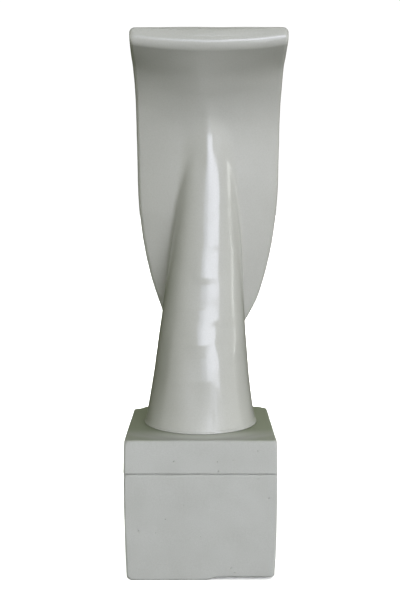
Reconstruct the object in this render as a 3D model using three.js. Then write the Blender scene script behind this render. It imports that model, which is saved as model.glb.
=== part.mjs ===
import * as THREE from 'three';
import { mergeVertices } from 'three/addons/utils/BufferGeometryUtils.js';

// Abstract head on a two-piece plinth, in millimetres. +Z is up and the front faces -Y.
// The origin is the middle of the plinth's underside.

// Plinth: a tall block with a thinner slab bedded on it, of one side where they meet
const PLINTH_SIDE = 163.4; // across the flats, at the joint
const BLOCK_HEIGHT = 117.5;
const BLOCK_TAPER = 5.2; // how much narrower the block's foot is than its top
const BLOCK_BELLY = 1.6; // how much wider the block is at half height than straight sides make it
const SLAB_HEIGHT = 36;
const SLAB_TAPER = 1.7; // how much narrower the slab's top is than its foot
const PLINTH_CORNER_RADIUS = 2.6;
const PLINTH_ARRIS_RADIUS = 1.5;
const BED_GAP = 0.3; // left between two pieces where one stands on the other

// Head: a conical neck that runs up into a shield, and the shield's top curls forward into a lip
const HEAD_HEIGHT = 421.5;
const NECK_FOOT_RADIUS = 58.6;
const NECK_TOP_RADIUS = 18.6; // the radius that the cone comes down to at the height of the lip
const NECK_FLARE = 5; // how far the cone's foot spreads where it meets the slab
const NECK_SET_BACK = 7.5; // the neck's axis behind the middle of the plinth
const HOLLOW_LOW = 6; // softness of the hollow between neck and shield, at the chin
const HOLLOW_HIGH = 10; // and where the neck runs out into the shield
const SHIELD_WIDTH = 157.2;
const SHIELD_SIDE_THICKNESS = 13;
const SHIELD_EDGE_RADIUS = 4.5;
const RIDGE_HEIGHT = 17; // how far the ridge down the shield's front stands proud of its sides
const RIDGE_SHIFT = -8; // of the ridge beside the shield's middle line
const SHIELD_FRONT_CROWN = 6; // the same at the chin and the lip, where the front is only domed
const SHIELD_BACK_CROWN = 6;
const LIP_WIDTH = 158.4;
const LIP_SWELL = 2.5; // how much the lip thickens toward its end
const LIP_FRONT_RADIUS = 10;
const LIP_BACK_RADIUS = 2;
const LIP_SIDE_RADIUS = 4.5;

// Proportions of the head, as shares of its height
const CHIN_HEIGHT = 0.161 * HEAD_HEIGHT;
const FLARE_HEIGHT = 0.083 * HEAD_HEIGHT; // over which the foot's spread falls to about a third
const LEAN_HEIGHT = 0.7 * HEAD_HEIGHT; // over which the neck leans to one side
const NECK_LEAN = 0.0194 * HEAD_HEIGHT; // how far it leans sideways
const SHIELD_SHIFT = 0.0195 * HEAD_HEIGHT; // the shield's middle line beside the plinth's

// Shares that shape the shield
const CHIN_ROUNDNESS = 1.8; // exponent of the chin's outline: 2 is an ellipse
const CHIN_SHARE = 0.527; // of the shield's length, over which the chin widens
const THICKENING_SHARE = 0.035; // of the shield's length, over which the chin's lower edge rounds up
const SINK_SHARE = 0.7; // of the shield's thickness, how deep its front lies in the neck at the chin
const ROOF_SHARE = 0.5; // how much of the ridge is a sharp roof: the rest is a flat arch
const ROOF_ROUNDING = 0.12; // of half the shield's width, over which the roof's top is rounded
const LEAN_SOFTENING = 0.08; // of the shield's length, over which one lean turns into the next

// Lean of the shield toward the viewer, in degrees, at shares of its length from chin to lip
const SHIELD_LEAN = [
  [0, 15],
  [0.31, 12.5],
  [0.56, 7.5],
  [0.65, 12.5],
  [0.78, 41],
  [0.9, 64],
  [1, 67],
];

// Stretches of the shield's length, from chin to lip, over which something comes in
const STRETCH = {
  lift: [0, 0.05], // of the rays' start, from the shield's front to its middle
  shift: [0, 0.2], // from the neck's middle line to the shield's own
  backDome: [0, 0.3],
  ridge: [0.05, 0.35],
  tilt: [0.3, 0.8], // of the rings, from level to square to the shield
  hollow: [0.5, 0.8],
  backFlat: [0.6, 1],
  lipFlare: [0.8, 1],
  ridgeEnd: [0.82, 1],
  lipSwell: [0.84, 0.97],
};

// Fineness of the faceted surface
const NECK_RINGS = 6;
const SHIELD_RINGS = 46;
const CROWDING_SHARE = 0.6; // how much closer the shield's rings lie at the chin and the lip
const EDGE_RINGS = 4;
const FRONT_FACETS = 18; // from the middle of the front to one side's edge
const BACK_FACETS = 9; // from that edge to the middle of the back
const CORNER_FACETS = 4;
const SIDE_RINGS = 5; // between the foot and the top of a plinth piece with a belly
const RAYS = 90; // traced in each quarter of a ring before it is thinned to its facets
const TURN_WEIGHT = 14; // millimetres of outline that one radian of turning counts for
const LEAST_SIZE = 0.01; // of the shield's width and thickness, where the chin runs out to nothing
const LEAN_SAMPLES = 9;
const LINE_STEPS = 400;
const HALVINGS = 40; // of the stretch in which a ray is known to leave the solid

const FINISHES = {
  head: new THREE.MeshStandardMaterial({ color: 0xb4b6ae, roughness: 0.35, metalness: 0 }),
  plinth: new THREE.MeshStandardMaterial({ color: 0xadafa6, roughness: 0.85, metalness: 0 }),
};

const lerp = THREE.MathUtils.lerp;
const clamp = THREE.MathUtils.clamp;
const smoothstep = THREE.MathUtils.smoothstep;

// A closed mesh from a stack of rings with the same number of points, each running
// anticlockwise seen from above, with a flat cap on the lowest and the highest.
function loft(rings, caps) {
  const count = rings[0].length;
  const positions = rings.flat().flatMap((point) => point.toArray());
  const faces = [];
  for (let row = 0; row + 1 < rings.length; row += 1) {
    for (let i = 0; i < count; i += 1) {
      const a = row * count + i;
      const b = row * count + ((i + 1) % count);
      faces.push(a, b, b + count, a, b + count, a + count);
    }
  }
  const top = (rings.length - 1) * count;
  for (const [a, b, c] of THREE.ShapeUtils.triangulateShape(caps.lower, [])) {
    faces.push(c, b, a);
  }
  for (const [a, b, c] of THREE.ShapeUtils.triangulateShape(caps.upper, [])) {
    faces.push(top + a, top + b, top + c);
  }
  const geometry = new THREE.BufferGeometry();
  geometry.setAttribute('position', new THREE.Float32BufferAttribute(positions, 3));
  geometry.setIndex(faces);
  const closed = mergeVertices(geometry);
  closed.computeVertexNormals();
  return closed;
}

// One ring of a square with round corners
function squareRing(side, cornerRadius, z) {
  const reach = side / 2 - cornerRadius;
  const ring = [];
  for (let corner = 0; corner < 4; corner += 1) {
    const middle = (corner * Math.PI) / 2 + Math.PI / 4;
    const x = reach * Math.SQRT2 * Math.cos(middle);
    const y = reach * Math.SQRT2 * Math.sin(middle);
    for (let i = 0; i <= CORNER_FACETS; i += 1) {
      const angle = (corner * Math.PI) / 2 + (i / CORNER_FACETS) * (Math.PI / 2);
      ring.push(new THREE.Vector3(
        x + cornerRadius * Math.cos(angle),
        y + cornerRadius * Math.sin(angle),
        z,
      ));
    }
  }
  return ring;
}

// A plinth piece: sides that run from one square to another with a slight belly, and the edges
// round its foot and top worn round
function plinthPiece(footSide, topSide, belly, height) {
  const arris = Math.min(PLINTH_ARRIS_RADIUS, height / 3);
  const rings = [];
  const addRing = (z, inset) => {
    const share = z / height;
    const side = lerp(footSide, topSide, share) + belly * 4 * share * (1 - share);
    rings.push(squareRing(side - 2 * inset, PLINTH_CORNER_RADIUS, z));
  };
  for (let i = 0; i <= EDGE_RINGS; i += 1) {
    const angle = (i / EDGE_RINGS) * (Math.PI / 2);
    addRing(arris * (1 - Math.cos(angle)), arris * (1 - Math.sin(angle)));
  }
  const sideRings = belly > 0 ? SIDE_RINGS : 0;
  for (let i = 1; i <= sideRings; i += 1) {
    addRing(lerp(arris, height - arris, i / (sideRings + 1)), 0);
  }
  for (let i = 0; i <= EDGE_RINGS; i += 1) {
    const angle = (i / EDGE_RINGS) * (Math.PI / 2);
    addRing(height - arris * (1 - Math.sin(angle)), arris * (1 - Math.cos(angle)));
  }
  const flat = (ring) => ring.map((p) => new THREE.Vector2(p.x, p.y));
  return loft(rings, { lower: flat(rings[0]), upper: flat(rings.at(-1)) });
}

// The neck: a cone whose foot spreads a little and whose axis leans to one side
function neckRadius(z) {
  const spread = NECK_FLARE * Math.exp(-Math.max(z, 0) / FLARE_HEIGHT);
  return lerp(NECK_FOOT_RADIUS, NECK_TOP_RADIUS, z / HEAD_HEIGHT) + spread;
}

function neckMiddle(z) {
  return NECK_LEAN * smoothstep(z, 0, LEAN_HEIGHT);
}

function distanceToNeck(x, y, z) {
  return Math.hypot(x - neckMiddle(z), y - NECK_SET_BACK) - neckRadius(z);
}

// Lean of the shield at a share of its length, in radians: the corners of SHIELD_LEAN are
// rounded by averaging over a short stretch.
function shieldLean(share) {
  const at = (u) => {
    const next = SHIELD_LEAN.findIndex(([stop]) => stop >= clamp(u, 0, 1));
    const [u1, lean1] = SHIELD_LEAN[Math.max(next, 1)];
    const [u0, lean0] = SHIELD_LEAN[Math.max(next, 1) - 1];
    return lerp(lean0, lean1, (clamp(u, 0, 1) - u0) / (u1 - u0));
  };
  let sum = 0;
  for (let i = 0; i < LEAN_SAMPLES; i += 1) {
    sum += at(share + LEAN_SOFTENING * (i / (LEAN_SAMPLES - 1) - 0.5));
  }
  return THREE.MathUtils.degToRad(sum / LEAN_SAMPLES);
}

// The middle line of the shield's front face, from the chin (inside the back of the neck) to the
// lip, as [y, z] at even steps of its length. Its length is what brings the lip to the full height.
function traceShieldLine() {
  const forward = [0];
  const up = [0];
  for (let i = 0; i < LINE_STEPS; i += 1) {
    const lean = shieldLean((i + 0.5) / LINE_STEPS);
    forward.push(forward[i] + Math.sin(lean) / LINE_STEPS);
    up.push(up[i] + Math.cos(lean) / LINE_STEPS);
  }
  const lipLean = shieldLean(1);
  const cornerLoss = LIP_BACK_RADIUS * (Math.cos(lipLean) + Math.sin(lipLean) - 1);
  const lipRise = SHIELD_SIDE_THICKNESS * Math.sin(lipLean) - cornerLoss;
  const length = (HEAD_HEIGHT - CHIN_HEIGHT - lipRise) / up[LINE_STEPS];
  const chinY = NECK_SET_BACK + neckRadius(CHIN_HEIGHT) - SINK_SHARE * SHIELD_SIDE_THICKNESS;
  const points = up.map((rise, i) => [chinY - length * forward[i], CHIN_HEIGHT + length * rise]);
  return { length, points };
}

const shieldLine = traceShieldLine();

function shieldPoint(share) {
  const step = clamp(share, 0, 1) * LINE_STEPS;
  const i = Math.min(Math.floor(step), LINE_STEPS - 1);
  const [y0, z0] = shieldLine.points[i];
  const [y1, z1] = shieldLine.points[i + 1];
  return [lerp(y0, y1, step - i), lerp(z0, z1, step - i)];
}

function shieldHalfWidth(share) {
  const below = clamp((CHIN_SHARE - share) / CHIN_SHARE, 0, 1);
  const chin = Math.sqrt(Math.max(1 - below ** CHIN_ROUNDNESS, 0));
  const flare = ((LIP_WIDTH - SHIELD_WIDTH) / 2) * smoothstep(share, ...STRETCH.lipFlare);
  return (SHIELD_WIDTH / 2) * chin + flare + LEAST_SIZE;
}

// How far a round edge of the lip's end has drawn in at a share of the shield's length
function edgeInset(share, radius) {
  const toEnd = clamp((1 - share) * shieldLine.length, 0, radius);
  return radius - Math.sqrt(radius ** 2 - (radius - toEnd) ** 2);
}

// How far the front stands proud of the shield's sides: a ridge between two sides that sweep
// back, which flattens to a plain dome at the chin and the lip
function frontProud(x, dome, { share, halfWidth }) {
  const ridgeShare = smoothstep(share, ...STRETCH.ridge) * (1 - smoothstep(share, ...STRETCH.ridgeEnd));
  const beside = x - RIDGE_SHIFT;
  const sideReach = halfWidth - Math.sign(beside) * RIDGE_SHIFT;
  const fromRidge = clamp(Math.abs(beside) / sideReach, 0, 1);
  const slope = Math.hypot(fromRidge, ROOF_ROUNDING) - ROOF_ROUNDING;
  const roof = 1 - slope / (Math.hypot(1, ROOF_ROUNDING) - ROOF_ROUNDING);
  const ridge = lerp(dome, roof, ROOF_SHARE) * (halfWidth / (SHIELD_WIDTH / 2));
  return lerp(SHIELD_FRONT_CROWN * dome, RIDGE_HEIGHT * ridge, ridgeShare);
}

// Signed distances in the plane of a ring, negative inside: x runs across and depth from the
// shield's middle surface to its back.
function plateDistance(x, depth, plate) {
  const { share, halfWidth, thickness, backCrown } = plate;
  const side = clamp(Math.abs(x) / halfWidth, 0, 1);
  const dome = 1 - side * side;
  const swell = LIP_SWELL * smoothstep(share, ...STRETCH.lipSwell);
  const fullness = thickness / SHIELD_SIDE_THICKNESS;
  const frontReach = thickness / 2 + frontProud(x, dome, plate) * fullness + swell;
  const front = edgeInset(share, LIP_FRONT_RADIUS) - frontReach;
  const back = thickness / 2 + backCrown * dome * fullness - edgeInset(share, LIP_BACK_RADIUS);
  const radius = Math.min(SHIELD_EDGE_RADIUS, halfWidth, (back - front) / 2);
  const outX = Math.abs(x) - (halfWidth - edgeInset(share, LIP_SIDE_RADIUS) - radius);
  const outDepth = Math.abs(depth - (front + back) / 2) - ((back - front) / 2 - radius);
  const corner = Math.hypot(Math.max(outX, 0), Math.max(outDepth, 0));
  return corner + Math.min(Math.max(outX, outDepth), 0) - radius;
}

function joined(a, b, softness) {
  const share = clamp(0.5 + (b - a) / (2 * softness), 0, 1);
  return lerp(b, a, share) - softness * share * (1 - share);
}

// The plane of each ring, and what is solid in it. Rings lie level in the neck and tilt with
// the shield toward the lip.
function neckSection(z) {
  const share = z / CHIN_HEIGHT;
  const [chinY] = shieldPoint(0);
  const y = lerp(NECK_SET_BACK, chinY, smoothstep(share, 0, 1));
  const distance = (x, depth) => distanceToNeck(x, y + depth, z);
  return { x: neckMiddle(z), y, z, tilt: 0, start: 0, distance };
}

function shieldSection(share) {
  const tilt = shieldLean(share) * smoothstep(share, ...STRETCH.tilt);
  const [frontY, frontZ] = shieldPoint(share);
  const y = frontY + (SHIELD_SIDE_THICKNESS / 2) * Math.cos(tilt);
  const z = frontZ + (SHIELD_SIDE_THICKNESS / 2) * Math.sin(tilt);
  const rounding = clamp(share / THICKENING_SHARE, 0, 1);
  const thickness = SHIELD_SIDE_THICKNESS * Math.sqrt(1 - (1 - rounding) ** 2) + LEAST_SIZE;
  const halfWidth = shieldHalfWidth(share);
  const backDome = smoothstep(share, ...STRETCH.backDome) * (1 - smoothstep(share, ...STRETCH.backFlat));
  const backCrown = SHIELD_BACK_CROWN * backDome;
  const plate = { share, halfWidth, thickness, backCrown };
  const middle = lerp(neckMiddle(z), SHIELD_SHIFT, smoothstep(share, ...STRETCH.shift));
  const hollow = lerp(HOLLOW_LOW, HOLLOW_HIGH, smoothstep(share, ...STRETCH.hollow));
  const distance = (x, depth) => {
    const toNeck = distanceToNeck(x, y + depth * Math.cos(tilt), z + depth * Math.sin(tilt));
    const toPlate = plateDistance(x - middle, depth, plate);
    const side = clamp(Math.abs(x - middle) / halfWidth, 0, 1);
    const behind = depth - SHIELD_SIDE_THICKNESS / 2 - backCrown * (1 - side * side);
    return Math.max(joined(toNeck, toPlate, hollow), behind);
  };
  const start = lerp(-SHIELD_SIDE_THICKNESS / 2, 0, smoothstep(share, ...STRETCH.lift));
  return { x: middle, y, z, tilt, start, distance };
}

// Where a ray from the section's start leaves the solid
function edgeAlong(section, angle) {
  let inside = 0;
  let outside = 2 * (SHIELD_WIDTH + NECK_FOOT_RADIUS);
  for (let i = 0; i < HALVINGS; i += 1) {
    const reach = (inside + outside) / 2;
    const x = section.x + reach * Math.cos(angle);
    const depth = section.start + reach * Math.sin(angle);
    if (section.distance(x, depth) < 0) {
      inside = reach;
    } else {
      outside = reach;
    }
  }
  return new THREE.Vector2(
    section.x + inside * Math.cos(angle),
    section.start + inside * Math.sin(angle),
  );
}

// A quarter of a section's outline, thinned to its facets: corners and hollows get more of them
function quarterOutline(section, from, facets) {
  const traced = [];
  for (let i = 0; i <= RAYS; i += 1) {
    traced.push(edgeAlong(section, from + (i / RAYS) * (Math.PI / 2)));
  }
  const measure = [0];
  for (let i = 1; i <= RAYS; i += 1) {
    const step = traced[i].clone().sub(traced[i - 1]);
    let turn = 0;
    if (i < RAYS) {
      const next = traced[i + 1].clone().sub(traced[i]);
      turn = Math.abs(Math.atan2(step.cross(next), step.dot(next)));
    }
    measure.push(measure[i - 1] + step.length() + TURN_WEIGHT * turn);
  }
  const outline = [];
  let i = 0;
  for (let facet = 0; facet < facets; facet += 1) {
    const target = (facet / facets) * measure[RAYS];
    while (measure[i + 1] < target) {
      i += 1;
    }
    const share = (target - measure[i]) / (measure[i + 1] - measure[i]);
    outline.push(traced[i].clone().lerp(traced[i + 1], share));
  }
  return outline;
}

function sectionOutline(section) {
  const quarters = [FRONT_FACETS, BACK_FACETS, BACK_FACETS, FRONT_FACETS];
  return quarters.flatMap((facets, i) => {
    return quarterOutline(section, ((i - 1) * Math.PI) / 2, facets);
  });
}

function placeOutline(section, outline) {
  return outline.map((point) => new THREE.Vector3(
    point.x,
    section.y + point.y * Math.cos(section.tilt),
    section.z + point.y * Math.sin(section.tilt),
  ));
}

function headGeometry() {
  const sections = [];
  for (let i = 0; i < NECK_RINGS; i += 1) {
    sections.push(neckSection((i / NECK_RINGS) * CHIN_HEIGHT));
  }
  const edgeShare = LIP_FRONT_RADIUS / shieldLine.length;
  for (let i = 0; i <= SHIELD_RINGS; i += 1) {
    const turn = (2 * Math.PI * i) / SHIELD_RINGS;
    const share = i / SHIELD_RINGS - (CROWDING_SHARE * Math.sin(turn)) / (2 * Math.PI);
    sections.push(shieldSection(share * (1 - edgeShare)));
  }
  for (let i = 1; i <= EDGE_RINGS; i += 1) {
    const angle = (i / EDGE_RINGS) * (Math.PI / 2);
    sections.push(shieldSection(1 - edgeShare * (1 - Math.sin(angle))));
  }
  const outlines = sections.map(sectionOutline);
  const rings = sections.map((section, i) => placeOutline(section, outlines[i]));
  return loft(rings, { lower: outlines[0], upper: outlines.at(-1) });
}

function named(name, geometry, finish, z) {
  const mesh = new THREE.Mesh(geometry, finish);
  mesh.name = name;
  mesh.position.z = z;
  return mesh;
}

const slabFoot = BLOCK_HEIGHT + BED_GAP;
const headFoot = slabFoot + SLAB_HEIGHT + BED_GAP;

const block = plinthPiece(PLINTH_SIDE - BLOCK_TAPER, PLINTH_SIDE, BLOCK_BELLY, BLOCK_HEIGHT);
const slab = plinthPiece(PLINTH_SIDE, PLINTH_SIDE - SLAB_TAPER, 0, SLAB_HEIGHT);

const sculpture = new THREE.Group();
sculpture.add(
  named('plinth_block', block, FINISHES.plinth, 0),
  named('plinth_slab', slab, FINISHES.plinth, slabFoot),
  named('head', headGeometry(), FINISHES.head, headFoot),
);

export default sculpture;
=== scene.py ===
import math

import bpy
import numpy as np
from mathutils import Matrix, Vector, noise


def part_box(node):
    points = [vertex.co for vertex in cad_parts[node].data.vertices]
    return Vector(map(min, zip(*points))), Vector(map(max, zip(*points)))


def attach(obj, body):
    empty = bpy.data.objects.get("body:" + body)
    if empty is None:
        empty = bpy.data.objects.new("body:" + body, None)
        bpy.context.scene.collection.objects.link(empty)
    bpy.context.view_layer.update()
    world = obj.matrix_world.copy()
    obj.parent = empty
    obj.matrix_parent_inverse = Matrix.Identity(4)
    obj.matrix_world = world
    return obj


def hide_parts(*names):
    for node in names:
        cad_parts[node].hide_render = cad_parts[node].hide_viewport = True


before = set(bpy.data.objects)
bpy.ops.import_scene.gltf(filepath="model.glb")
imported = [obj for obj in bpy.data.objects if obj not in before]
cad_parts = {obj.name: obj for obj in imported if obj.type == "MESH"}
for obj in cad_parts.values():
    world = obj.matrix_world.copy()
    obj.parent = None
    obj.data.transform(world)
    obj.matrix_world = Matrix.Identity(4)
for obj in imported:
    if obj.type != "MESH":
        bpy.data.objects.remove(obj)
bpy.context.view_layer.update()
MM = 0.001

# The camera stands about a metre in front of the plinth, just above the middle of the head, and
# looks down slightly. The picture is upright, 400 by 600.
CAMERA_REACH = 993.5 * MM  # from the middle of the plinth
CAMERA_HEIGHT = 402 * MM
CAMERA_SIDE = -0.6 * MM
CAMERA_TILT = math.radians(6.2)
LENS_MM = 53.29
SENSOR_WIDTH_MM = 36
camera = bpy.data.objects.new("camera", bpy.data.cameras.new("camera"))
camera.data.sensor_width = SENSOR_WIDTH_MM
camera.data.lens = LENS_MM
camera.location = (CAMERA_SIDE, -CAMERA_REACH, CAMERA_HEIGHT)
camera.rotation_euler = (math.pi / 2 - CAMERA_TILT, 0, 0)
bpy.context.collection.objects.link(camera)
bpy.context.scene.camera = camera


# The plinth's block is cast stone: cement and fine sand, poured in a box mould and left as it came
# out. Its sides are not quite flat, its edges are worn, and air bubbles have left pits in its faces.
block_low, block_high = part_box("plinth_block")
BLOCK_TOP_SIDE = 163.4 * MM
BLOCK_FOOT_SIDE = 158.2 * MM
BLOCK_BELLY = 1.6 * MM
UPRIGHT_EDGE_RADIUS = 2.4 * MM
BLOCK_TOP_EDGE_RADIUS = 1.3 * MM
BLOCK_FOOT_EDGE_RADIUS = 2 * MM
FACE_STEP = 2.6 * MM  # between the grid lines across a face
EDGE_LINES = 5  # across a round edge
PIT_LINES = 7  # across a pit
LINE_DIGITS = 5  # grid lines that lie within a hundredth of a millimetre are one
NOISE_STEP = (17.3, 5.1, 9.7)  # from one seed's noise to the next, in bumps


def grid_lines(low, high, low_radius, high_radius, pits):
    """Places of the grid lines across a face: even steps, closer in the round edges and at each pit."""
    edge = 1 - np.tan(np.linspace(0, math.pi / 4, EDGE_LINES))
    count = round((high - low - low_radius - high_radius) / FACE_STEP)
    places = [
        low + low_radius * edge,
        high - high_radius * edge,
        np.linspace(low + low_radius, high - high_radius, count + 1),
    ]
    for place, radius in pits:
        places.append(place + radius * np.linspace(-1, 1, PIT_LINES))
    return np.unique(np.round(np.concatenate(places), LINE_DIGITS))


def box_skin(xs, ys, zs):
    """The skin of a box as points and four-sided faces: one point for each crossing of its grid lines."""
    index = {}
    faces = []

    def corner(axis, end, u, v):
        place = [u, v]
        place.insert(axis, end)
        return index.setdefault(tuple(place), len(index))

    lines = (xs, ys, zs)
    for axis in range(3):
        u_count, v_count = (len(lines[a]) for a in range(3) if a != axis)
        for end in (0, len(lines[axis]) - 1):
            for u in range(u_count - 1):
                for v in range(v_count - 1):
                    ring = [(u, v), (u + 1, v), (u + 1, v + 1), (u, v + 1)]
                    if (end > 0) == (axis == 1):
                        ring.reverse()
                    faces.append([corner(axis, end, *place) for place in ring])
    points = np.array([(xs[i], ys[j], zs[k]) for i, j, k in index])
    return points, faces


def round_edges(points, low, high, foot_radius, top_radius):
    """Moves the points of a box's skin onto its round edges. Returns them with their normals."""
    radii = np.full_like(points, UPRIGHT_EDGE_RADIUS)
    radii[:, 2] = np.where(points[:, 2] < (low[2] + high[2]) / 2, foot_radius, top_radius)
    core = np.clip(points, low + radii, high - radii)
    out = (points - core) / radii
    out /= np.linalg.norm(out, axis=1)[:, None]
    normals = out / radii
    normals /= np.linalg.norm(normals, axis=1)[:, None]
    return core + out * radii, normals


def noise_at(points, size, seed):
    """Smooth noise of about -1 to 1 at each point, with bumps of about that size."""
    shift = Vector([seed * step for step in NOISE_STEP])
    return np.array([noise.noise(Vector(point) / size + shift) for point in points])


def dent(points, middle, radius):
    """How far each point is into a round dent, from 0 at its edge to 1 in its middle."""
    distance = np.linalg.norm(points - np.array(middle), axis=1) / radius
    return np.clip(1 - distance**2, 0, 1) ** 2


def smoothstep(value, low, high):
    """Rises smoothly from 0 to 1 while the value goes from low to high."""
    share = np.clip((value - low) / (high - low), 0, 1)
    return share * share * (3 - 2 * share)


def add_piece(name, points, faces, material):
    """A mesh object at the origin, smooth shaded, that rides on the sculpture's one body."""
    mesh = bpy.data.meshes.new(name)
    mesh.from_pydata([tuple(point) for point in points], [], [tuple(face) for face in faces])
    mesh.shade_smooth()
    mesh.materials.append(material)
    piece = bpy.data.objects.new(name, mesh)
    bpy.context.collection.objects.link(piece)
    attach(piece, "root")
    return piece


def linear(hex_colour):
    """A colour written as sRGB hex, as the linear RGBA that a shader socket takes."""
    channels = [int(hex_colour[i:i + 2], 16) / 255 for i in (0, 2, 4)]
    return (*(c / 12.92 if c <= 0.04045 else ((c + 0.055) / 1.055) ** 2.4 for c in channels), 1)


def add_node(tree, kind, inputs, **settings):
    """One node with its settings. An input is a value, or the output of another node."""
    made = tree.nodes.new(kind)
    for key, value in settings.items():
        setattr(made, key, value)
    for key, value in inputs.items():
        if isinstance(value, bpy.types.NodeSocket):
            tree.links.new(value, made.inputs[key])
        else:
            made.inputs[key].default_value = value
    return made


# Raw cast stone straight from the mould: matte, with grains of sand just showing, soft clouds where
# the mix dried unevenly, and air bubbles as pinholes darkened with painted shade.
raw_stone = bpy.data.materials.new("raw_cast_stone")
raw_stone.use_nodes = True
tree = raw_stone.node_tree
CLOUD_SIZE = 38 * MM
GRAIN_SIZE = 1.1 * MM  # real sand is a third of this, and would not show
GRAIN_RELIEF = 0.12 * MM
NOISE_LOW = 0.3  # nearly all of a noise's values lie between these
NOISE_HIGH = 0.7
place = add_node(tree, "ShaderNodeTexCoord", {}).outputs["Object"]
clouds = add_node(tree, "ShaderNodeTexNoise", {"Vector": place, "Scale": 1 / CLOUD_SIZE, "Detail": 4.0})
grains = add_node(tree, "ShaderNodeTexNoise", {"Vector": place, "Scale": 1 / GRAIN_SIZE, "Detail": 2.0})
stone_colour = add_node(
    tree, "ShaderNodeMix",
    {0: clouds.outputs["Fac"], 6: linear("BDBEBA"), 7: linear("CFD0CE")}, data_type="RGBA",
)
grain_colour = add_node(
    tree, "ShaderNodeMix",
    {0: grains.outputs["Fac"], 6: linear("E8E8E6"), 7: linear("FFFFFF")}, data_type="RGBA",
)
mottled = add_node(
    tree, "ShaderNodeMix",
    {0: 1.0, 6: stone_colour.outputs[2], 7: grain_colour.outputs[2]},
    data_type="RGBA", blend_type="MULTIPLY",
)

# Painted light: in front of the head the slab's top is painted a paler tone, as if more light fell there.
TOP_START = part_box("plinth_slab")[1].z - 0.8 * MM  # height from which all counts as the slab's top
TOP_FADE = 0.6 * MM
TOP_STRENGTH = 0.6  # of the painted light and of the painted shade, at the most
HEAD_STANDS_AT = (1 * MM, 7.5 * MM, TOP_START)
PAINTED_LIGHT_REACH = 86 * MM  # from the head's middle to where the painted light ends
PAINTED_LIGHT_BACK = -55 * MM  # behind this the painted light fades
PAINTED_LIGHT_BACK_FADE = 17 * MM
LIGHT_AND_SHADE_FADE = 12 * MM  # over which the painted light and the painted shade fade, here and in the corners
axes = add_node(tree, "ShaderNodeSeparateXYZ", {"Vector": place})
from_head = add_node(
    tree, "ShaderNodeVectorMath", {0: place, 1: HEAD_STANDS_AT}, operation="DISTANCE",
)
on_top = add_node(
    tree, "ShaderNodeMapRange",
    {
        "Value": axes.outputs["Z"], "From Min": TOP_START,
        "From Max": TOP_START + TOP_FADE, "To Max": TOP_STRENGTH,
    },
)
near_foot = add_node(
    tree, "ShaderNodeMapRange",
    {
        "Value": from_head.outputs["Value"], "From Min": PAINTED_LIGHT_REACH - LIGHT_AND_SHADE_FADE,
        "From Max": PAINTED_LIGHT_REACH, "To Min": 1.0, "To Max": 0.0,
    },
)
before_head = add_node(
    tree, "ShaderNodeMapRange",
    {
        "Value": axes.outputs["Y"], "From Min": PAINTED_LIGHT_BACK,
        "From Max": PAINTED_LIGHT_BACK + PAINTED_LIGHT_BACK_FADE, "To Min": 1.0, "To Max": 0.0,
    },
)
top_before_head = add_node(
    tree, "ShaderNodeMath",
    {0: on_top.outputs["Result"], 1: before_head.outputs["Result"]}, operation="MULTIPLY",
)
painted_light_share = add_node(
    tree, "ShaderNodeMath",
    {0: top_before_head.outputs["Value"], 1: near_foot.outputs["Result"]}, operation="MULTIPLY",
)
# painted light: the paler tone mixed into the slab's top before the head
painted_light_top = add_node(
    tree, "ShaderNodeMix",
    {0: painted_light_share.outputs["Value"], 6: mottled.outputs[2], 7: linear("E4E5E2")}, data_type="RGBA",
)

# On the rest of the slab's top, and a little in its front corners, an olive painted shade darkens the
# stone: it stands in for the head's shadow and the dim greenish light that the top gets.
SHADE_FRONT = -66 * MM
SHADE_FADE = 35 * MM
CORNER_REACH = 90 * MM  # from the head's middle to where the painted shade in the corners starts
CORNER_SHARE = 0.55  # of the painted shade's strength
behind_front = add_node(
    tree, "ShaderNodeMapRange",
    {"Value": axes.outputs["Y"], "From Min": SHADE_FRONT, "From Max": SHADE_FRONT + SHADE_FADE},
)
in_corner = add_node(
    tree, "ShaderNodeMapRange",
    {
        "Value": from_head.outputs["Value"], "From Min": CORNER_REACH,
        "From Max": CORNER_REACH + LIGHT_AND_SHADE_FADE, "To Max": CORNER_SHARE,
    },
)
painted_shade_place = add_node(
    tree, "ShaderNodeMath",
    {0: behind_front.outputs["Result"], 1: in_corner.outputs["Result"]}, operation="MAXIMUM",
)
painted_shade = add_node(
    tree, "ShaderNodeMath",
    {0: on_top.outputs["Result"], 1: painted_shade_place.outputs["Value"]}, operation="MULTIPLY",
)
# painted shade: olive grey mixed into the slab's top
painted_shade_top = add_node(
    tree, "ShaderNodeMix",
    {0: painted_shade.outputs["Value"], 6: painted_light_top.outputs[2], 7: linear("848F67")}, data_type="RGBA",
)

# Air bubbles lie all through the stone, and few of them are open to a face: painted shade darkens those.
PINHOLE_SPACING = 9 * MM
PINHOLE_RADIUS = 0.36 * MM  # real ones go down to a tenth of this, and would not show
PINHOLE_RIM = 0.675 * MM  # where the painted shade and the sinking of a pinhole end
PINHOLE_DEPTH = 4.0  # in heights of a grain
CLOSED_SHARE = 0.9  # of a bubble's random shade: only those with a paler one are open
bubbles = add_node(tree, "ShaderNodeTexVoronoi", {"Vector": place, "Scale": 1 / PINHOLE_SPACING})
near_bubble = add_node(
    tree, "ShaderNodeMapRange",
    {
        "Value": bubbles.outputs["Distance"], "From Min": PINHOLE_RADIUS / PINHOLE_SPACING,
        "From Max": PINHOLE_RIM / PINHOLE_SPACING, "To Min": 1.0, "To Max": 0.0,
    },
)
is_open = add_node(
    tree, "ShaderNodeMath", {0: bubbles.outputs["Color"], 1: CLOSED_SHARE}, operation="GREATER_THAN",
)
pinhole = add_node(
    tree, "ShaderNodeMath",
    {0: near_bubble.outputs["Result"], 1: is_open.outputs["Value"]}, operation="MULTIPLY",
)
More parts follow.
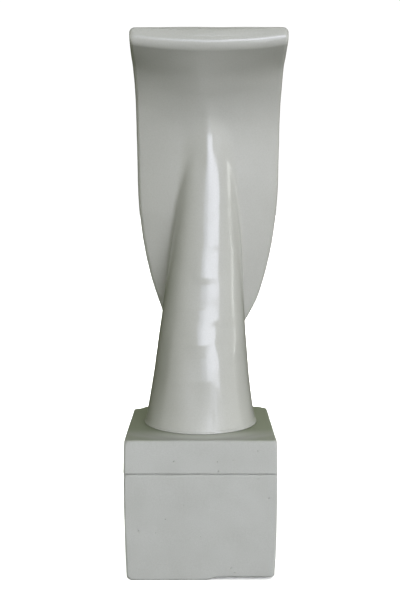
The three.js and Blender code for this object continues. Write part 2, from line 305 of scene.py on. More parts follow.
# painted shade: the open pinholes painted a dark grey
pinhole_painted_shade = add_node(
    tree, "ShaderNodeMix",
    {0: pinhole.outputs["Value"], 6: painted_shade_top.outputs[2], 7: linear("82857C")}, data_type="RGBA",
)
depth = add_node(
    tree, "ShaderNodeMath",
    {0: pinhole.outputs["Value"], 1: -PINHOLE_DEPTH, 2: grains.outputs["Fac"]},
    operation="MULTIPLY_ADD",
)
relief = add_node(
    tree, "ShaderNodeBump",
    {"Height": depth.outputs["Value"], "Distance": GRAIN_RELIEF, "Strength": 0.6},
)
dryness = add_node(
    tree, "ShaderNodeMapRange",
    {
        "Value": clouds.outputs["Fac"], "From Min": NOISE_LOW, "From Max": NOISE_HIGH,
        "To Min": 0.62, "To Max": 0.82,
    },
)
surface = tree.nodes["Principled BSDF"]
surface.inputs["IOR"].default_value = 1.5
tree.links.new(pinhole_painted_shade.outputs[2], surface.inputs["Base Color"])
tree.links.new(dryness.outputs["Result"], surface.inputs["Roughness"])
tree.links.new(relief.outputs["Normal"], surface.inputs["Normal"])

# Pits in the block's front: across and down from the middle of its top edge, and their radius
BLOCK_PITS = [
    (72 * MM, 25.6 * MM, 1.1 * MM),
    (-67 * MM, 62 * MM, 1.0 * MM),
    (33 * MM, 105.8 * MM, 1.2 * MM),
    (37 * MM, 111.9 * MM, 0.9 * MM),
    (-18.6 * MM, 33.4 * MM, 0.6 * MM),
    (60.7 * MM, 4.6 * MM, 0.6 * MM),
]
# Pits in both sides of a plinth piece, as far down as the first ones in its front: how far back from
# its middle, and their radius
SIDE_PITS = [(-41 * MM, 1.1 * MM), (12 * MM, 0.8 * MM), (55 * MM, 1.3 * MM)]
PIT_DEPTH = 1.6  # of a pit's radius
# Chipped corners of the block's front: left or right, and the chip's radius
BLOCK_TOP_CHIPS = [(-1, 4.5 * MM), (1, 3.2 * MM)]
BLOCK_FOOT_CHIPS = [(-1, 5 * MM), (1, 3.5 * MM)]
WORN_FOOT_RISE = 3.4 * MM  # the front of the foot is worn away upward along its right half
WORN_FOOT_START = 4 * MM  # to the right of the middle
WORN_FOOT_FULL = 22 * MM
WORN_FOOT_DEPTH = 18 * MM
WORN_FOOT_REACH = 30 * MM
UNEVENNESS = 0.35 * MM
UNEVENNESS_SIZE = 48 * MM
EDGE_WEAR = 0.5 * MM
EDGE_WEAR_SIZE = 9 * MM
EDGE_WEAR_SHARE = 0.5  # of EDGE_WEAR that is gone on average
EDGE_SLANT = 0.985  # where the largest part of a normal is below this, a round edge has begun
EDGE_SLANT_FADE = 0.2


def plinth_skin(low, high, foot_radius, top_radius, pits):
    """A plinth piece's skin with round edges, these pits in its front and SIDE_PITS in its sides.
    Returns its points, their normals without the pits, and its faces."""
    points, faces = box_skin(
        grid_lines(
            low[0], high[0], UPRIGHT_EDGE_RADIUS, UPRIGHT_EDGE_RADIUS,
            [(across, radius) for across, down, radius in pits],
        ),
        grid_lines(low[1], high[1], UPRIGHT_EDGE_RADIUS, UPRIGHT_EDGE_RADIUS, SIDE_PITS),
        grid_lines(
            low[2], high[2], foot_radius, top_radius,
            [(high[2] - down, radius) for across, down, radius in pits],
        ),
    )
    points, normals = round_edges(points, low, high, foot_radius, top_radius)
    hollows = [((across, low[1], high[2] - down), radius) for across, down, radius in pits]
    for (back, radius), (_, down, _) in zip(SIDE_PITS, pits):
        hollows += [((side, back, high[2] - down), radius) for side in (low[0], high[0])]
    for middle, radius in hollows:
        points -= normals * (PIT_DEPTH * radius * dent(points, middle, radius))[:, None]
    return points, normals, faces


def chip_corner(points, corner, radius, inward, down):
    """Moves the points near a corner inward and down, by these shares of the chip's radius."""
    chip = dent(points, corner, radius)[:, None]
    sides = np.sign(corner)
    points += chip * radius * np.array([-inward * sides[0], -inward * sides[1], -down])


def worn(points, normals, seed):
    """The points of a plinth piece with uneven faces and worn edges: nothing is worn off a bedding face."""
    upright = 1 - normals[:, 2] ** 2
    on_edge = np.clip((EDGE_SLANT - np.abs(normals).max(axis=1)) / EDGE_SLANT_FADE, 0, 1)
    waves = UNEVENNESS * upright * noise_at(points, UNEVENNESS_SIZE, seed)
    wear = EDGE_WEAR * on_edge * (EDGE_WEAR_SHARE + noise_at(points, EDGE_WEAR_SIZE, seed + 1))
    return points + normals * (waves - np.clip(wear, 0, None))[:, None]


low = np.array([-BLOCK_TOP_SIDE / 2, -BLOCK_TOP_SIDE / 2, block_low.z])
high = np.array([BLOCK_TOP_SIDE / 2, BLOCK_TOP_SIDE / 2, block_high.z])
points, normals, faces = plinth_skin(
    low, high, BLOCK_FOOT_EDGE_RADIUS, BLOCK_TOP_EDGE_RADIUS, BLOCK_PITS,
)
for side, radius in BLOCK_TOP_CHIPS:
    chip_corner(points, (side * high[0], low[1], high[2]), radius, inward=0.28, down=0.1)
for side, radius in BLOCK_FOOT_CHIPS:
    chip_corner(points, (side * high[0], low[1], low[2]), radius, inward=0.28, down=-0.3)
points = worn(points, normals, seed=1)
foot_wear = (
    smoothstep(points[:, 0], WORN_FOOT_START, WORN_FOOT_FULL)
    * smoothstep(-points[:, 1], high[1] - WORN_FOOT_DEPTH, high[1])
    * smoothstep(low[2] + WORN_FOOT_REACH - points[:, 2], 0, WORN_FOOT_REACH)
)
points[:, 2] += WORN_FOOT_RISE * foot_wear
share = (points[:, 2] - low[2]) / (high[2] - low[2])
belly = BLOCK_BELLY * 4 * share * (1 - share)  # a flat arc, widest at half height
side = BLOCK_FOOT_SIDE + (BLOCK_TOP_SIDE - BLOCK_FOOT_SIDE) * share + belly
points[:, :2] *= (side / BLOCK_TOP_SIDE)[:, None]
block = add_piece("block", points, faces, raw_stone)
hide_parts("plinth_block")


# The plinth's slab is of the same cast stone, poured in a shallow mould and bedded on the block. Its
# top edge is worn rounder than its foot, and the joint below it is a thin dark line.
slab_low, slab_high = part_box("plinth_slab")
SLAB_TOP_SIDE = 161.7 * MM
SLAB_FOOT_SIDE = 163.4 * MM
SLAB_TOP_EDGE_RADIUS = 1.8 * MM
SLAB_FOOT_EDGE_RADIUS = 0.9 * MM
SLAB_PITS = [
    (18.4 * MM, 33 * MM, 1.0 * MM),
    (-28 * MM, 22 * MM, 1.0 * MM),
    (34 * MM, 21 * MM, 0.6 * MM),
]
# Chipped corners of the slab's top: left or right, front or back, and the chip's radius
SLAB_CHIPS = [(-1, 1, 16 * MM), (1, 1, 10 * MM), (-1, -1, 5 * MM), (1, -1, 4 * MM)]
low = np.array([-SLAB_TOP_SIDE / 2, -SLAB_TOP_SIDE / 2, slab_low.z])
high = np.array([SLAB_TOP_SIDE / 2, SLAB_TOP_SIDE / 2, slab_high.z])
points, normals, faces = plinth_skin(
    low, high, SLAB_FOOT_EDGE_RADIUS, SLAB_TOP_EDGE_RADIUS, SLAB_PITS,
)
for side, back, radius in SLAB_CHIPS:
    chip_corner(points, (side * high[0], back * high[1], high[2]), radius, inward=0.3, down=0.12)
points = worn(points, normals, seed=4)
share = (points[:, 2] - low[2]) / (high[2] - low[2])
side = SLAB_FOOT_SIDE + (SLAB_TOP_SIDE - SLAB_FOOT_SIDE) * share
points[:, :2] *= (side / SLAB_TOP_SIDE)[:, None]
slab = add_piece("slab", points, faces, raw_stone)
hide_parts("plinth_slab")


# The head is one casting of the same stone, rubbed smooth and sealed: a conical neck that runs up
# into a shield, whose top curls forward into a thick lip. It stands on the slab by its own weight.
head_low, head_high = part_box("head")
HEAD_HEIGHT = head_high.z - head_low.z
NECK_FOOT_RADIUS = 58.6 * MM
NECK_TOP_RADIUS = 18.6 * MM  # the radius that the cone comes down to at the height of the lip
NECK_FLARE = 5 * MM  # how far the cone's foot spreads where it meets the slab
NECK_FLARE_HEIGHT = 0.083 * HEAD_HEIGHT
NECK_SET_BACK = 7.5 * MM  # the neck's middle line behind the middle of the plinth
NECK_NOD = 2.5 * MM  # how far the neck's tip comes forward again, where it runs out into the shield
NOD_START = 0.66 * HEAD_HEIGHT
NOD_END = 0.84 * HEAD_HEIGHT
NECK_LEAN = 0.0194 * HEAD_HEIGHT  # how far it leans sideways
LEAN_HEIGHT = 0.7 * HEAD_HEIGHT
FOOT_BEAD = 0.8 * MM  # a thin bead at the very foot, which catches the light
FOOT_BEAD_HEIGHT = 2.5 * MM
FOOT_EDGE_RADIUS = 1 * MM
HOLLOW_LOW = 4.5 * MM  # softness of the hollow between neck and shield, at the chin
HOLLOW_HIGH = 8.5 * MM  # and where the neck runs out into the shield
SHIELD_WIDTH = 157.2 * MM
SHIELD_SIDE_THICKNESS = 13 * MM
SHIELD_EDGE_RADIUS = 4.5 * MM
RIDGE_HEIGHT = 17 * MM  # the front is a ridge between two sides that sweep back
RIDGE_SHIFT = -8 * MM  # of the ridge beside the shield's middle line
SHIELD_FRONT_CROWN = 6 * MM  # at the chin and the lip, where the front is only domed
SHIELD_BACK_CROWN = 6 * MM
LIP_WIDTH = 158.4 * MM
LIP_SWELL = 2.5 * MM  # how much the lip thickens toward its end
LIP_FRONT_RADIUS = 10 * MM
LIP_BACK_RADIUS = 2 * MM
LIP_SIDE_RADIUS = 4.5 * MM
LIP_DOME = 1 * MM
SHIELD_SHIFT = 0.0195 * HEAD_HEIGHT  # the shield's middle line beside the plinth's
CHIN_HEIGHT = 0.161 * HEAD_HEIGHT
CHIN_ROUNDNESS = 1.8  # exponent of the chin's outline: 2 is an ellipse
CHIN_SHARE = 0.527  # of the shield's length, over which the chin widens
THICKENING_SHARE = 0.035  # of the shield's length, over which the chin's lower edge rounds up
SINK_SHARE = 0.7  # of the shield's thickness, how deep its front lies in the neck at the chin
ROOF_SHARE = 0.5  # how much of the ridge is a sharp roof: the rest is a flat arch
ROOF_ROUNDING = 0.12  # of half the shield's width, over which the roof's top is rounded
LEAN_SOFTENING = 0.08  # of the shield's length, over which one lean turns into the next
ROUNDING_SHARE = 0.98  # of half the shield's thickness, the most that an edge is rounded
LEAST_SIZE = 0.01 * MM  # of the shield's width and thickness, where the chin runs out to nothing
# Lean of the shield toward the viewer, in degrees, at shares of its length from chin to lip
SHIELD_LEAN = [(0, 15), (0.31, 12.5), (0.56, 7.5), (0.65, 12.5), (0.78, 41), (0.9, 64), (1, 67)]
# Stretches of the shield's length, from chin to lip, over which something comes in
STRETCH = {
    "lift": (0, 0.05),  # of the rays' start, from the shield's front to its middle
    "shift": (0, 0.2),  # from the neck's middle line to the shield's own
    "back_dome": (0, 0.3),
    "ridge": (0.05, 0.35),
    "tilt": (0.3, 0.8),  # of the rings, from level to square to the shield
    "hollow": (0.5, 0.8),
    "back_flat": (0.6, 1),
    "lip_flare": (0.8, 1),
    "ridge_end": (0.82, 1),
    "lip_swell": (0.84, 0.97),
}
LINE_STEPS = 2000
NECK_RINGS = 56
SHIELD_RINGS = 290
EDGE_RINGS = 16
FOOT_CROWDING = 1.3  # an exponent: above 1 the neck's rings lie closer toward its foot
CROWDING_SHARE = 0.6  # how much closer the shield's rings lie at the chin and the lip
FRONT_POINTS = 66  # from the ridge in front to one side's edge
BACK_POINTS = 38  # from that edge to the middle of the back
RAYS = 180  # traced in each quarter of a ring before it is thinned to its points
HALVINGS = 26  # of the stretch in which a ray is known to leave the solid
TURN_WEIGHT = 14 * MM  # of outline that one radian of turning counts for


def neck_radius(z):
    """Radius of the neck at a height over the slab."""
    spread = NECK_FLARE * np.exp(-np.maximum(z, 0) / NECK_FLARE_HEIGHT)
    bead = FOOT_BEAD * (1 - smoothstep(z, FOOT_BEAD_HEIGHT / 2, FOOT_BEAD_HEIGHT))
    return NECK_FOOT_RADIUS + (NECK_TOP_RADIUS - NECK_FOOT_RADIUS) * z / HEAD_HEIGHT + spread + bead


def neck_middle(z):
    """How far the neck's middle line leans to the right at a height over the slab."""
    return NECK_LEAN * smoothstep(z, 0, LEAN_HEIGHT)


# The line that the middle of the shield's front follows, from the chin to the lip
line_share = np.linspace(0, 1, LINE_STEPS + 1)
lean = np.radians(np.interp(line_share, *zip(*SHIELD_LEAN)))
window = np.hanning(round(LEAN_SOFTENING * LINE_STEPS) | 1)
margin = len(window) // 2
lean = np.convolve(np.pad(lean, margin, mode="edge"), window / window.sum(), "valid")
line_y = -np.concatenate([[0], np.cumsum(np.sin(lean[:-1]))]) / LINE_STEPS
line_z = np.concatenate([[0], np.cumsum(np.cos(lean[:-1]))]) / LINE_STEPS
lip_loss = LIP_BACK_RADIUS * (math.cos(lean[-1]) + math.sin(lean[-1]) - 1)
lip_rise = SHIELD_SIDE_THICKNESS * math.sin(lean[-1]) - lip_loss
SHIELD_LENGTH = (HEAD_HEIGHT - CHIN_HEIGHT - lip_rise) / line_z[-1]
chin_y = NECK_SET_BACK + neck_radius(CHIN_HEIGHT) - SINK_SHARE * SHIELD_SIDE_THICKNESS
line_y = chin_y + SHIELD_LENGTH * line_y
line_z = CHIN_HEIGHT + SHIELD_LENGTH * line_z


def half_width(share):
    """Half the shield's width at a share of its length."""
    below = np.clip((CHIN_SHARE - share) / CHIN_SHARE, 0, 1)
    flare = (LIP_WIDTH - SHIELD_WIDTH) / 2 * smoothstep(share, *STRETCH["lip_flare"])
    return SHIELD_WIDTH / 2 * np.sqrt(1 - below**CHIN_ROUNDNESS) + flare + LEAST_SIZE


def edge_inset(share, radius):
    """How far a round edge has drawn in at a share of the shield's length, close to the lip's end."""
    to_end = np.clip((1 - share) * SHIELD_LENGTH, 0, radius)
    return radius - np.sqrt(radius**2 - (radius - to_end) ** 2)


# The planes of the rings: level in the neck, and tilting with the shield toward the lip
neck_z = np.linspace(0, 1, NECK_RINGS, endpoint=False) ** FOOT_CROWDING * CHIN_HEIGHT
turn = np.linspace(0, 1, SHIELD_RINGS)
rise = turn - CROWDING_SHARE * np.sin(2 * math.pi * turn) / (2 * math.pi)
edge_start = 1 - LIP_FRONT_RADIUS / SHIELD_LENGTH
edge_rise = np.sin(np.linspace(0, math.pi / 2, EDGE_RINGS + 1))[1:]
share = np.concatenate([
    np.zeros(NECK_RINGS), rise * edge_start, edge_start + (1 - edge_start) * edge_rise,
])[:, None]
in_neck = (np.arange(len(share)) < NECK_RINGS)[:, None]
tilt = np.interp(share, line_share, lean) * smoothstep(share, *STRETCH["tilt"])
ring_y = np.interp(share, line_share, line_y) + SHIELD_SIDE_THICKNESS / 2 * np.cos(tilt)
ring_z = np.interp(share, line_share, line_z) + SHIELD_SIDE_THICKNESS / 2 * np.sin(tilt)
neck_z = neck_z[:, None]
ring_y[:NECK_RINGS] = NECK_SET_BACK + (chin_y - NECK_SET_BACK) * smoothstep(neck_z, 0, CHIN_HEIGHT)
ring_z[:NECK_RINGS] = neck_z
own_line = smoothstep(share, *STRETCH["shift"])
ring_x = neck_middle(ring_z) + (SHIELD_SHIFT - neck_middle(ring_z)) * own_line
ray_start = -SHIELD_SIDE_THICKNESS / 2 * (1 - smoothstep(share, *STRETCH["lift"]))
ray_start[:NECK_RINGS] = 0

# The shield's form at each ring
thickening = np.clip(share / THICKENING_SHARE, 0, 1)
thickness = SHIELD_SIDE_THICKNESS * np.sqrt(1 - (1 - thickening) ** 2) + LEAST_SIZE
width = half_width(share)
hollow_softness = HOLLOW_LOW + (HOLLOW_HIGH - HOLLOW_LOW) * smoothstep(share, *STRETCH["hollow"])
ridge_share = smoothstep(share, *STRETCH["ridge"]) * (1 - smoothstep(share, *STRETCH["ridge_end"]))
ridge_height = RIDGE_HEIGHT * width / (SHIELD_WIDTH / 2)
swell = LIP_SWELL * smoothstep(share, *STRETCH["lip_swell"])
back_dome = smoothstep(share, *STRETCH["back_dome"]) * (1 - smoothstep(share, *STRETCH["back_flat"]))
back_crown = SHIELD_BACK_CROWN * back_dome
front_inset = edge_inset(share, LIP_FRONT_RADIUS)
back_inset = edge_inset(share, LIP_BACK_RADIUS)
side_inset = edge_inset(share, LIP_SIDE_RADIUS)


def solid_distance(x, depth):
    """Distance to the head's surface in each ring's own plane, negative inside. x runs across, and
    depth from the middle of the shield's thickness toward its back."""
    world_y = ring_y + depth * np.cos(tilt)
    world_z = ring_z + depth * np.sin(tilt)
    neck_y = NECK_SET_BACK - NECK_NOD * smoothstep(world_z, NOD_START, NOD_END)
    neck = np.hypot(x - neck_middle(world_z), world_y - neck_y) - neck_radius(world_z)
    across = x - ring_x
    arch = 1 - np.clip(np.abs(across) / width, 0, 1) ** 2
    beside = across - RIDGE_SHIFT
    from_ridge = np.clip(np.abs(beside) / (width - np.sign(beside) * RIDGE_SHIFT), 0, 1)
    slope = np.hypot(from_ridge, ROOF_ROUNDING) - ROOF_ROUNDING
    roof = 1 - slope / (math.hypot(1, ROOF_ROUNDING) - ROOF_ROUNDING)
    ridge = ridge_height * (ROOF_SHARE * roof + (1 - ROOF_SHARE) * arch)
    crown = arch * thickness / SHIELD_SIDE_THICKNESS
    proud = SHIELD_FRONT_CROWN * crown * (1 - ridge_share) + ridge * ridge_share
    front = -thickness / 2 - proud - swell + front_inset
    back = thickness / 2 + back_crown * crown - back_inset
    radius = np.minimum(
        np.minimum(SHIELD_EDGE_RADIUS, width), (back - front) / 2 * ROUNDING_SHARE,
    )
    out_x = np.abs(across) - (width - side_inset - radius)
    out_depth = np.abs(depth - (front + back) / 2) - ((back - front) / 2 - radius)
    corner = np.hypot(np.maximum(out_x, 0), np.maximum(out_depth, 0))
    plate = corner + np.minimum(np.maximum(out_x, out_depth), 0) - radius
    blend = np.clip(0.5 + (plate - neck) / (2 * hollow_softness), 0, 1)
    joined = plate + (neck - plate) * blend - hollow_softness * blend * (1 - blend)
    behind = depth - SHIELD_SIDE_THICKNESS / 2 - back_crown * crown
    foot_edge = np.clip(FOOT_EDGE_RADIUS - ring_z, 0, FOOT_EDGE_RADIUS)
    foot_inset = FOOT_EDGE_RADIUS - np.sqrt(FOOT_EDGE_RADIUS**2 - foot_edge**2)
    return np.where(in_neck, neck + foot_inset, np.maximum(joined, behind))


def quarter_outline(first_angle, count):
    """A quarter of every ring's outline, traced by rays and thinned to count points: corners and
    hollows keep more of them."""
    angle = first_angle + np.linspace(0, math.pi / 2, RAYS + 1)
    inside = np.zeros((len(share), RAYS + 1))
    outside = np.full_like(inside, LIP_WIDTH)
    for _ in range(HALVINGS):
        reach = (inside + outside) / 2
        x = ring_x + reach * np.cos(angle)
        is_in = solid_distance(x, ray_start + reach * np.sin(angle)) < 0
        inside = np.where(is_in, reach, inside)
        outside = np.where(is_in, outside, reach)
    x = ring_x + inside * np.cos(angle)
    depth = ray_start + inside * np.sin(angle)
    outline = np.empty((len(share), count, 2))
    for row in range(len(share)):
        step_x, step_depth = np.diff(x[row]), np.diff(depth[row])
        bearing = np.unwrap(np.arctan2(step_depth, step_x))
        turning = np.concatenate([[0], np.abs(np.diff(bearing))])
        measure = np.concatenate([[0], np.cumsum(np.hypot(step_x, step_depth) + TURN_WEIGHT * turning)])
        wanted = np.linspace(0, measure[-1], count, endpoint=False)
        outline[row, :, 0] = np.interp(wanted, measure, x[row])
        outline[row, :, 1] = np.interp(wanted, measure, depth[row])
    return outline


quarters = [FRONT_POINTS, BACK_POINTS, BACK_POINTS, FRONT_POINTS]
outline = np.concatenate(
    [quarter_outline((i - 1) * math.pi / 2, count) for i, count in enumerate(quarters)], axis=1,
)
surface_points = np.stack([
    outline[..., 0],
    ring_y + outline[..., 1] * np.cos(tilt),
    ring_z + outline[..., 1] * np.sin(tilt),
], axis=-1)

# Which way each point of the surface faces, and how squarely to the front
along = np.gradient(surface_points, axis=0)
around = np.roll(surface_points, -1, axis=1) - np.roll(surface_points, 1, axis=1)
outward = np.cross(around, along)
outward /= np.linalg.norm(outward, axis=-1)[..., None] + 1e-12
rows, count = surface_points.shape[:2]
flat_points = surface_points.reshape(-1, 3)
height = flat_points[:, 2]
facing = np.clip(-outward.reshape(-1, 3)[:, 1], 0, 1) ** 2
beside = flat_points[:, 0] - neck_middle(height)

# Rubbing down by hand leaves the surface very slightly wavy, which breaks up its reflections. The
# waves run up and down, and the finer ripples across.
HAND_WAVE = 0.4 * MM
HAND_WAVE_SIZE = 34 * MM
HAND_WAVE_RUN = np.array([1, 1, 0.55])
HAND_RIPPLE = 0.18 * MM
HAND_RIPPLE_SIZE = 12 * MM
HAND_RIPPLE_RUN = np.array([0.6, 0.6, 1])
wave = HAND_WAVE * noise_at(flat_points * HAND_WAVE_RUN, HAND_WAVE_SIZE, 7)
wave += HAND_RIPPLE * noise_at(flat_points * HAND_RIPPLE_RUN, HAND_RIPPLE_SIZE, 9)

# The neck's front was rubbed straighter than its sides, from a lower edge that runs down to the
# right. Each pair is a height over the slab and how proud the front is there, in mm.
STRAIGHT_FRONT = [(-13, 0), (15, 2.6), (43, 4), (116, 1), (300, 0)]
EDGE_FALL = 1.6  # of the lower edge, for each mm to the right
FALL_START = 12 * MM  # beside the neck's middle line
FALL_LEVEL = 20 * MM  # where the heights above are true
FALL_END = 25 * MM
NECK_SIDE_SHARE = 0.9  # of the neck's radius, at which the straight front ends
NECK_SIDE_FADE = 14 * MM
on_neck = smoothstep(NECK_SIDE_SHARE * neck_radius(height) - np.abs(beside), 0, NECK_SIDE_FADE)
level_height = height + EDGE_FALL * (np.clip(beside, FALL_START, FALL_END) - FALL_LEVEL)
wave += MM * facing * on_neck * np.interp(level_height / MM, *zip(*STRAIGHT_FRONT))

# Up its middle the neck was rubbed in bands, which face a little differently, so that the bright
# streak down the front is broken. Each row is a height over the slab and how proud the stone is
# there, in mm, and its turn: how much prouder it is for each mm to the right.
BANDS = [
    (0, 0, 0.0),
    (43, 0, 0.14),
    (80, 0.35, 0.1),
    (95, 0.3, -0.06),
    (114, 0, -0.05),
    (122, 0.27, 0.0),
    (132, 0.27, 0.0),
    (136, 0.1, 0.04),
    (160, 0.25, 0.04),
    (168, 0.65, -0.03),
    (195, 0.3, -0.03),
    (203, 0.82, 0.0),
    (240, 0.25, 0.02),
    (300, 0, 0.0),
]
BANDS_MIDDLE = 9 * MM  # beside the neck's middle line
BANDS_REACH = 21 * MM
BAND_WANDER = 3 * MM  # how far a band's edge strays up and down
BAND_WANDER_SIZE = 14 * MM
BAND_WANDER_RUN = np.array([1, 1, 0.3])
strayed = noise_at(flat_points * BAND_WANDER_RUN, BAND_WANDER_SIZE, 11)
band_height = (height + BAND_WANDER * strayed) / MM
heights, prouds, turns = zip(*BANDS)
in_bands = facing * np.exp(-((beside - BANDS_MIDDLE) / BANDS_REACH) ** 4)
wave += in_bands * MM * np.interp(band_height, heights, prouds)
wave += in_bands * (beside - BANDS_MIDDLE) * np.interp(band_height, heights, turns)

# Where the neck runs out into the shield, its front narrows to a crest.
CREST_PROUD = 2 * MM
CREST_REACH = 7 * MM
CREST_START = (262 * MM, 318 * MM)  # heights over which it comes in
CREST_END = (338 * MM, 362 * MM)  # and goes out again
crest = smoothstep(height, *CREST_START) * (1 - smoothstep(height, *CREST_END))
wave += CREST_PROUD * crest * facing * np.exp(-(beside / CREST_REACH) ** 2)

# The very foot, which stands on the slab, keeps its true form.
TRUE_FOOT_HEIGHT = 3 * MM
wave *= smoothstep(height, 0, TRUE_FOOT_HEIGHT)
points = flat_points + outward.reshape(-1, 3) * wave[:, None]

# Both ends are closed by rings that shrink to the middle. The lip's end is a little domed.
CAP_SHARES = [0.94, 0.85, 0.7, 0.5, 0.3, 0.12]
end_middle = np.array([ring_x[-1, 0], ring_y[-1, 0], ring_z[-1, 0]])
end_out = np.array([0, -math.sin(tilt[-1, 0]), math.cos(tilt[-1, 0])])
foot_middle = np.array([ring_x[0, 0], ring_y[0, 0], 0])
last_ring = points[-count:]
first_ring = points[:count]
layers = [points]
for cap_share in CAP_SHARES:
    dome = LIP_DOME * (1 - cap_share**2)
    layers.append(end_middle + (last_ring - end_middle) * cap_share + end_out * dome)
for cap_share in CAP_SHARES:
    layers.append(foot_middle + (first_ring - foot_middle) * cap_share)
up_order = list(range(rows + len(CAP_SHARES)))
foot_order = [0] + list(range(rows + len(CAP_SHARES), rows + 2 * len(CAP_SHARES)))
faces = []
for order, upward in ((up_order, True), (foot_order, False)):
    for lower, upper in zip(order, order[1:]):
        for i in range(count):
            after = (i + 1) % count
            face = [lower * count + i, lower * count + after, upper * count + after, upper * count + i]
            faces.append(face if upward else face[::-1])
    last = order[-1]
    face = [last * count + i for i in range(count)]
    faces.append(face if upward else face[::-1])
points = np.concatenate(layers)
points[:, 2] += head_low.z

# Cast stone rubbed down and sealed with a clear varnish: the same grey, a little warmer and evener,
# with a gloss that shows a window as a bright streak.
sealed_stone = bpy.data.materials.new("sealed_cast_stone")
sealed_stone.use_nodes = True
tree = sealed_stone.node_tree
DRIFT_SIZE = 55 * MM
SPECK_SIZE = 1.4 * MM  # grains under the varnish, drawn coarse enough to show
SPECK_RELIEF = 0.02 * MM
place = add_node(tree, "ShaderNodeTexCoord", {}).outputs["Object"]
drift = add_node(tree, "ShaderNodeTexNoise", {"Vector": place, "Scale": 1 / DRIFT_SIZE, "Detail": 3.0})
specks = add_node(tree, "ShaderNodeTexNoise", {"Vector": place, "Scale": 1 / SPECK_SIZE, "Detail": 2.0})
stone_colour = add_node(
    tree, "ShaderNodeMix",
    {0: drift.outputs["Fac"], 6: linear("C3C3BF"), 7: linear("CECECA")}, data_type="RGBA",
)
speck_colour = add_node(
    tree, "ShaderNodeMix",
    {0: specks.outputs["Fac"], 6: linear("EDEDEA"), 7: linear("FFFFFF")}, data_type="RGBA",
)
speckled = add_node(
    tree, "ShaderNodeMix",
    {0: 1.0, 6: stone_colour.outputs[2], 7: speck_colour.outputs[2]},
    data_type="RGBA", blend_type="MULTIPLY",
)
sheen = add_node(
    tree, "ShaderNodeMapRange",
    {
        "Value": drift.outputs["Fac"], "From Min": NOISE_LOW, "From Max": NOISE_HIGH,
        "To Min": 0.35, "To Max": 0.5,
    },
)
relief = add_node(
    tree, "ShaderNodeBump",
    {"Height": specks.outputs["Fac"], "Distance": SPECK_RELIEF, "Strength": 0.4},
)
surface = tree.nodes["Principled BSDF"]
surface.inputs["IOR"].default_value = 1.4
surface.inputs["Coat Weight"].default_value = 1
surface.inputs["Coat Roughness"].default_value = 0.16
surface.inputs["Coat IOR"].default_value = 1.5
tree.links.new(speckled.outputs[2], surface.inputs["Base Color"])
tree.links.new(sheen.outputs["Result"], surface.inputs["Roughness"])
tree.links.new(relief.outputs["Normal"], surface.inputs["Normal"])
head = add_piece("sculpted_head", points, faces, sealed_stone)
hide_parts("head")


# The floor is a plain pale sheet, and a pale dome closes the view all round. The floor is lit by a
# light of its own, so that neither of them throws light back onto the stone.
FLOOR_REACH = 30.0
FLOOR_LIGHT = 6.5
FLOOR_LIGHT_SPREAD = math.radians(150)
DOME_BRIGHTNESS = 1.05
bpy.ops.mesh.primitive_circle_add(vertices=128, radius=FLOOR_REACH, fill_type="NGON")
floor = bpy.context.object
floor.name = "floor"
bpy.ops.mesh.primitive_uv_sphere_add(segments=64, ring_count=32, radius=FLOOR_REACH)
dome = bpy.context.object
dome.name = "dome"
floor_paint = bpy.data.materials.new("floor_paint")
floor_paint.use_nodes = True
floor_surface = floor_paint.node_tree.nodes["Principled BSDF"]
floor_surface.inputs["Base Color"].default_value = linear("F2F2F0")
floor_surface.inputs["Roughness"].default_value = 0.9
floor.data.materials.append(floor_paint)
dome_light = bpy.data.materials.new("dome_light")
dome_light.use_nodes = True
tree = dome_light.node_tree
tree.nodes.remove(tree.nodes["Principled BSDF"])
glow = add_node(tree, "ShaderNodeEmission", {"Color": linear("FFFFFF"), "Strength": DOME_BRIGHTNESS})
tree.links.new(glow.outputs["Emission"], tree.nodes["Material Output"].inputs["Surface"])
dome.data.materials.append(dome_light)
for backdrop in (floor, dome):
    backdrop.visible_diffuse = False
    backdrop.visible_glossy = False
    backdrop.visible_transmission = False
dome.visible_shadow = False
floor_lit = bpy.data.collections.new("floor_lit")
floor_lit.objects.link(floor)
floor_sun = bpy.data.objects.new("floor_sun", bpy.data.lights.new("floor_sun", "SUN"))
floor_sun.data.energy = FLOOR_LIGHT
floor_sun.data.angle = FLOOR_LIGHT_SPREAD
floor_sun.light_linking.receiver_collection = floor_lit
bpy.context.collection.objects.link(floor_sun)


# The light comes through a window in front, a little to the right, and a narrower one on the right.
# Soft panels fill in from all round and from above, and do not show in the gloss.
LIGHT_DISTANCE = 2.6
LIGHT_AIM = Vector((0, 0, 0.35))
ROOM_BRIGHTNESS = 0.11  # of the dim, greenish room around


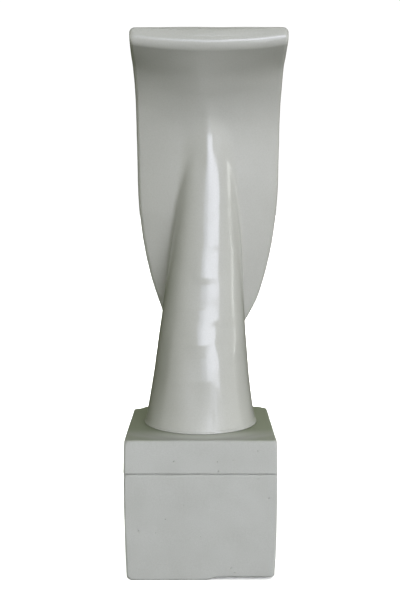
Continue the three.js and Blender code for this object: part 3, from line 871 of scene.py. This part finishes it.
def add_panel(name, bearings, elevations, brightness, colour, in_gloss):
    """A rectangular light that fills these bearings and elevations, in degrees, as the head sees them.
    Its brightness is that of its surface, where 1 is white. Bearing 0 is the front, 90 the right."""
    light = bpy.data.lights.new(name, "AREA")
    light.shape = "RECTANGLE"
    bearing, elevation = (math.radians(sum(pair) / 2) for pair in (bearings, elevations))
    light.size, light.size_y = (
        2 * LIGHT_DISTANCE * math.tan(math.radians(pair[1] - pair[0]) / 2) for pair in (bearings, elevations)
    )
    light.color = linear(colour)[:3]
    light.energy = brightness * math.pi * light.size * light.size_y
    out = Vector((math.sin(bearing), -math.cos(bearing), math.tan(elevation))).normalized()
    lamp = bpy.data.objects.new(name, light)
    lamp.location = LIGHT_AIM + LIGHT_DISTANCE * out
    lamp.rotation_euler = out.to_track_quat("Z", "Y").to_euler()
    lamp.visible_camera = False
    lamp.visible_glossy = in_gloss
    bpy.context.collection.objects.link(lamp)


add_panel("front_window", (2, 43), (0.5, 18), 6.7, "EAEDFE", in_gloss=True)
add_panel("front_window_foot", (12, 26), (-4, 0.5), 2.6, "EAEDFE", in_gloss=True)
add_panel("front_window_side", (-12, 2), (1.5, 16), 3.4, "DFE5FC", in_gloss=True)
add_panel("right_window", (93, 100), (-4, 3), 4.0, "FAFBF8", in_gloss=True)
add_panel("right_window_top", (84, 100), (7, 14), 3.4, "FAFBF8", in_gloss=True)
add_panel("front_window_tip", (11, 21), (-26, -4), 2.2, "EAEDFE", in_gloss=True)
add_panel("front_fill", (-10, 45), (-18, 24), 1.8, "FFFDF2", in_gloss=False)
add_panel("right_fill", (70, 108), (-14, 20), 2.0, "FCFCF3", in_gloss=False)
add_panel("left_fill", (-82, -32), (0, 38), 1.0, "F4F6E8", in_gloss=False)
add_panel("top_fill", (60, 120), (35, 85), 0.42, "EDF1DF", in_gloss=False)
add_panel("left_back_fill", (215, 280), (10, 50), 0.25, "DDE3C4", in_gloss=False)
add_panel("back_fill", (150, 205), (-8, 20), 4.5, "F4F5F0", in_gloss=False)

room = bpy.data.worlds.new("studio")
bpy.context.scene.world = room
room.use_nodes = True
room.node_tree.nodes["Background"].inputs["Color"].default_value = linear("A3B07C")
room.node_tree.nodes["Background"].inputs["Strength"].default_value = ROOM_BRIGHTNESS
bpy.context.scene.view_settings.view_transform = "Standard"
